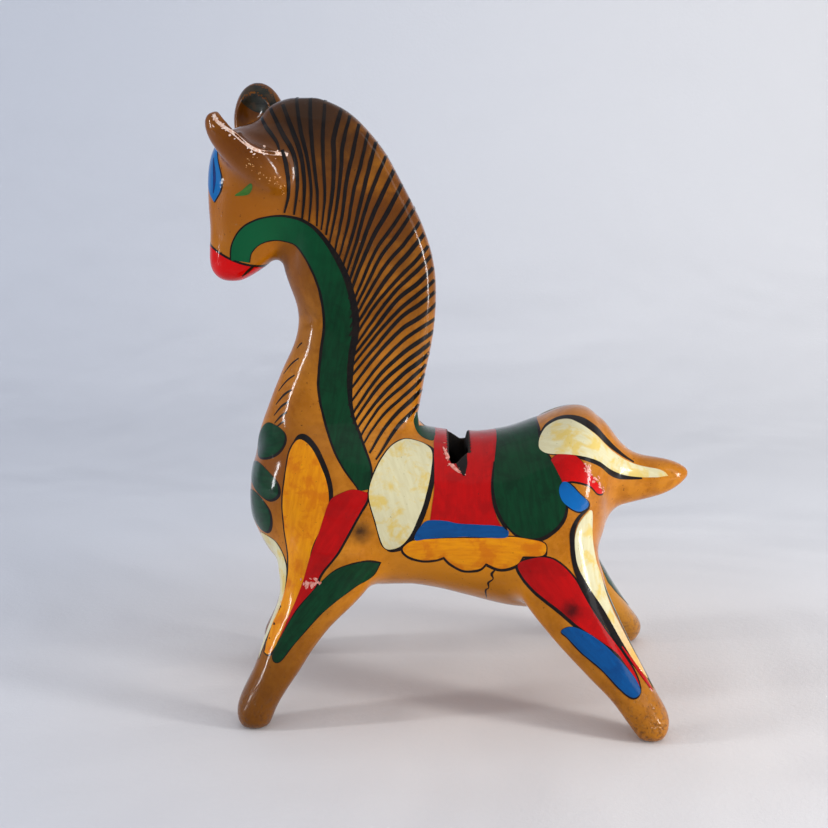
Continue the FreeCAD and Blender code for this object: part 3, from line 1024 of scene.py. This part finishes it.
def paint_hind_legs():
    cream = ring([
        (25, 56.2), (22.4, 55.2), (20.2, 52.2), (19, 48), (19.4, 43), (21.6, 37.4), (24.8, 31.2),
        (27.2, 24.4), (29.6, 18.6), (32.6, 14.6), (32.6, 14.6), (31.7, 18.4), (29.6, 25), (27.9, 31),
        (27.2, 38.4), (25.9, 43), (25.4, 50),
    ])
    rear = stroke([
        (24, 57.2, 0.4), (21, 55.2, 1), (19, 51.8, 1.3), (18.4, 48, 1.3), (18.8, 43, 1.5),
        (20.6, 37.2, 2.2), (23.6, 30.8, 2.4), (26.4, 24.2, 1.6), (29, 18.4, 0.9), (31.4, 14.4, 0.4),
    ])
    twins("hip_cream_outline", HAUNCH, [rear], "paint_black", coat=3, lean=HIND_LEAN)
    twins("hip_cream", HAUNCH, [cream], "paint_cream", coat=4, grain=85, lean=HIND_LEAN)
    red = ring([
        (17, 42.6), (19.6, 44.2), (24, 45.1), (27.6, 43.6), (31.4, 39.8), (35, 33.6), (39, 27.6),
        (43.5, 21.9), (47, 16.6), (48, 13.4), (48, 13.4), (44.6, 18.9), (41, 22.8), (33, 27.9), (27, 32.4),
        (21.2, 36.4), (18, 39.8),
    ])
    outlined("hip_red", SIDE, [red], "paint_red", (0.45, 0.45, -120), lean=HIND_LEAN, grain=-50)
    blue = ring([
        (28, 26.8), (29.6, 28), (32, 27.9), (36, 26), (40.5, 22.6), (45.4, 17.6), (47.8, 14), (47.6, 12.4),
        (45.6, 12), (42.4, 14.2), (38, 18.4), (33, 22.2), (29.6, 25.4),
    ])
    outlined("hip_blue", SIDE, [blue], "paint_blue", (0.1, 0.3, -90), 2, HIND_LEAN, coat=3, grain=-45)
    green = ring([
        (10.2, 37), (10.2, 37), (12.5, 31), (13.2, 26), (12.2, 20), (10.5, 15.5), (8.6, 12.2), (8.6, 12.2),
        (8.8, 16), (9.8, 21.5), (10.6, 26), (10.4, 31),
    ])
    twins("hock_green", HOCK, [green], "paint_green", coat=3, grain=80, lean=HIND_LEAN)
    trim = stroke([(26.8, 22.8, 0.3), (29, 18.6, 0.8), (31, 14.8, 0.9), (32.2, 12.2, 0.3)])
    twins("hock_red", HAUNCH, [trim], "paint_red", coat=5, grain=80, lean=HIND_LEAN)


def paint_wear():
    """Chips, scuffs and the crack under the belly, with painted shadow at the slot's tip and a painted
    highlight along the near ear's rim.
    """
    scrape = stroke([(-2.6, 10, 0.3), (-1.4, 13.5, 1), (0, 16.6, 1), (1.8, 18.2, 0.7)])
    chips = speckles([(-2.4, 8), (-1, 16), (3, 18.2)], 14, 0.35, 0.35, 3)
    film("slot_chips", ROUND, [scrape, *chips], "clay+chip", coat=4)
    # painted shadow: a black sliver where the slot's dark crack runs on past its tip
    tip_shadow = stroke([(2.4, 12.5, 2.4), (2.3, 15.2, 3), (2.5, 17.4, 2), (2.9, 19.2, 0.5)])
    twins("slot_tip", ROUND, [tip_shadow], "paint_black", coat=3)
    chips = speckles([(-38.8, 38.6), (-36.6, 38.2), (-35.4, 38.4)], 18, 0.7, 0.45, 5)
    film("leaf_chip", SIDE, chips, "clay+chip", coat=4)
    scuffs = speckles([(-52, 147.5), (-48.5, 144), (-45, 141), (-43.5, 138.5)], 44, 0.24, 0.9, 7)
    film("ear_scuffs", SIDE, scuffs, "clay+scuff", coat=1)
    crack = stroke([
        (11.4, 44.4, 0.2), (10.2, 46.2, 0.7), (10.6, 47.8, 0.3), (9.4, 49.4, 0.6), (9.6, 51.4, 0.3),
        (8.8, 53, 0.5), (9.4, 58.5, 0.1),
    ])
    film("belly_crack", ROUND, [crack], "paint_black", coat=1)
    rim = [
        (-60.6, 158.4), (-59.2, 156.4), (-55.2, 153.6), (-52.2, 151), (-49.4, 149.4), (-46, 148.6),
        (-42.6, 148),
    ]
    # painted highlight: a pale line along the near ear's rim, among chips of real wear
    rim_highlight = stroke([(x + 0.2, z + 0.2, 0.8) for x, z in rim])
    film("ear_rim_wear", SIDE, [rim_highlight, *speckles(rim, 40, 0.35, 0.4, 11)], "clay+slip", coat=1)
    chips = speckles([(34.6, 17.6), (37, 19.6), (39.4, 21.8), (40.6, 21)], 26, 0.5, 0.55, 13)
    film("rump_chips", ROUND, chips, "clay+chip", coat=3)


for paint in (paint_head, paint_rein, paint_mane, paint_chest, paint_saddle, paint_forelegs, paint_rump,
              paint_hind_legs, paint_wear):
    paint()


# ---- stage, light and camera ----
GROUND_WIDE = 1.6  # m from the middle to either side
GROUND_NEAR = -0.9  # m: where the ground starts, behind the camera
GROUND_BACK = 0.55  # m: where it has turned up into the backdrop
GROUND_HIGH = 1.3  # m: where the backdrop ends
GROUND_BEND = 0.25  # m: radius of the turn
BEND_STEPS = 12
LIGHT_AIM = (0.0, 0.0, 0.07)
LIGHTS = [  # name, place in m, size in m, watts, colour
    ("window_left", (-0.67, -0.14, 0.2), (0.045, 0.3), 2.4, (0.95, 0.97, 1.0)),
    ("window_right", (0.62, -0.3, 0.42), (0.2, 0.6), 0.9, (1.0, 1.0, 1.0)),
    ("crest_strip", (0.44, -0.21, 0.12), (0.06, 0.2), 1.8, (1.0, 1.0, 1.0)),
    ("overhead", (0.05, 0.0, 0.8), (1.2, 0.8), 0.9, (1.0, 0.99, 0.97)),
]
SKY_COLOUR = (0.86, 0.89, 1.0, 1.0)
SKY_STRENGTH = 0.68
EYE = (-0.0103, -0.4385, 0.1792)  # m: where the camera is
EYE_TILT = 77.0  # degrees up from looking straight down
EYE_LENS = 72.39  # mm
EYE_SENSOR = 36.0  # mm
EYE_NEAR = 0.01  # m: nothing nearer is drawn


def ground_material():
    """Pale cloth-like ground with faint broad folds, darker and a little bluer to the left as painted
    fall-off of light, and lighter and warmer about the horse as painted light in its shadow.
    """
    pale = Recipe("pale_ground")
    where = pale.place()
    across = pale.node("SeparateXYZ", {"Vector": where}).outputs["X"]
    # painted light: darker and bluer to the left, brighter to the right
    base = pale.mix(pale.ramp(across, -350.0, 350.0), shade((190, 194, 202)), shade((226, 225, 224)))
    # painted light: a broad, lighter and warmer patch about the horse that softens its shadow
    base = pale.stain_and_painted_light(where, base, (30.0, 0.0, 0.0), 220.0, (214, 208, 203))
    folds = pale.bump(pale.noise(where, 0.006, 3.0, 0.5, 0.4), 0.45, 30 * MM)
    weave = pale.bump(pale.noise(where, 0.5, 4.0, 0.7), 0.25, 0.5 * MM, folds)
    pale.fill(pale.shader, {"Base Color": base, "Roughness": 0.9, "Normal": weave})
    return pale.material


def ground():
    """A floor that turns up into a backdrop."""
    profile = [(GROUND_NEAR, 0.0)]
    for i in range(BEND_STEPS + 1):
        a = math.pi / 2 * i / BEND_STEPS
        profile.append((GROUND_BACK - GROUND_BEND * (1 - math.sin(a)), GROUND_BEND * (1 - math.cos(a))))
    profile.append((GROUND_BACK, GROUND_HIGH))
    places = [(x, y, z) for y, z in profile for x in (-GROUND_WIDE, GROUND_WIDE)]
    faces = [(i, i + 1, i + 3, i + 2) for i in range(0, len(places) - 2, 2)]
    mesh = bpy.data.meshes.new("ground")
    mesh.from_pydata(places, [], faces)
    mesh.shade_smooth()
    mesh.materials.append(ground_material())
    new_object("ground", mesh)


def studio_light():
    for name, at, size, power, tint in LIGHTS:
        light = bpy.data.lights.new(name, "AREA")
        light.shape = "RECTANGLE"
        light.size, light.size_y = size
        light.energy = power
        light.color = tint
        lamp = new_object(name, light)
        lamp.location = at
        lamp.rotation_euler = (Vector(LIGHT_AIM) - Vector(at)).to_track_quat("-Z", "Y").to_euler()
    world = bpy.data.worlds.new("studio")
    world.use_nodes = True
    sky = world.node_tree.nodes["Background"].inputs
    sky["Color"].default_value = SKY_COLOUR
    sky["Strength"].default_value = SKY_STRENGTH
    bpy.context.scene.world = world
    bpy.context.scene.view_settings.view_transform = "Standard"


def camera():
    data = bpy.data.cameras.new("eye")
    data.lens = EYE_LENS
    data.sensor_width = EYE_SENSOR
    data.clip_start = EYE_NEAR
    obj = new_object("eye", data)
    obj.location = EYE
    obj.rotation_euler = (math.radians(EYE_TILT), 0.0, 0.0)
    bpy.context.scene.camera = obj


ground()
studio_light()
camera()
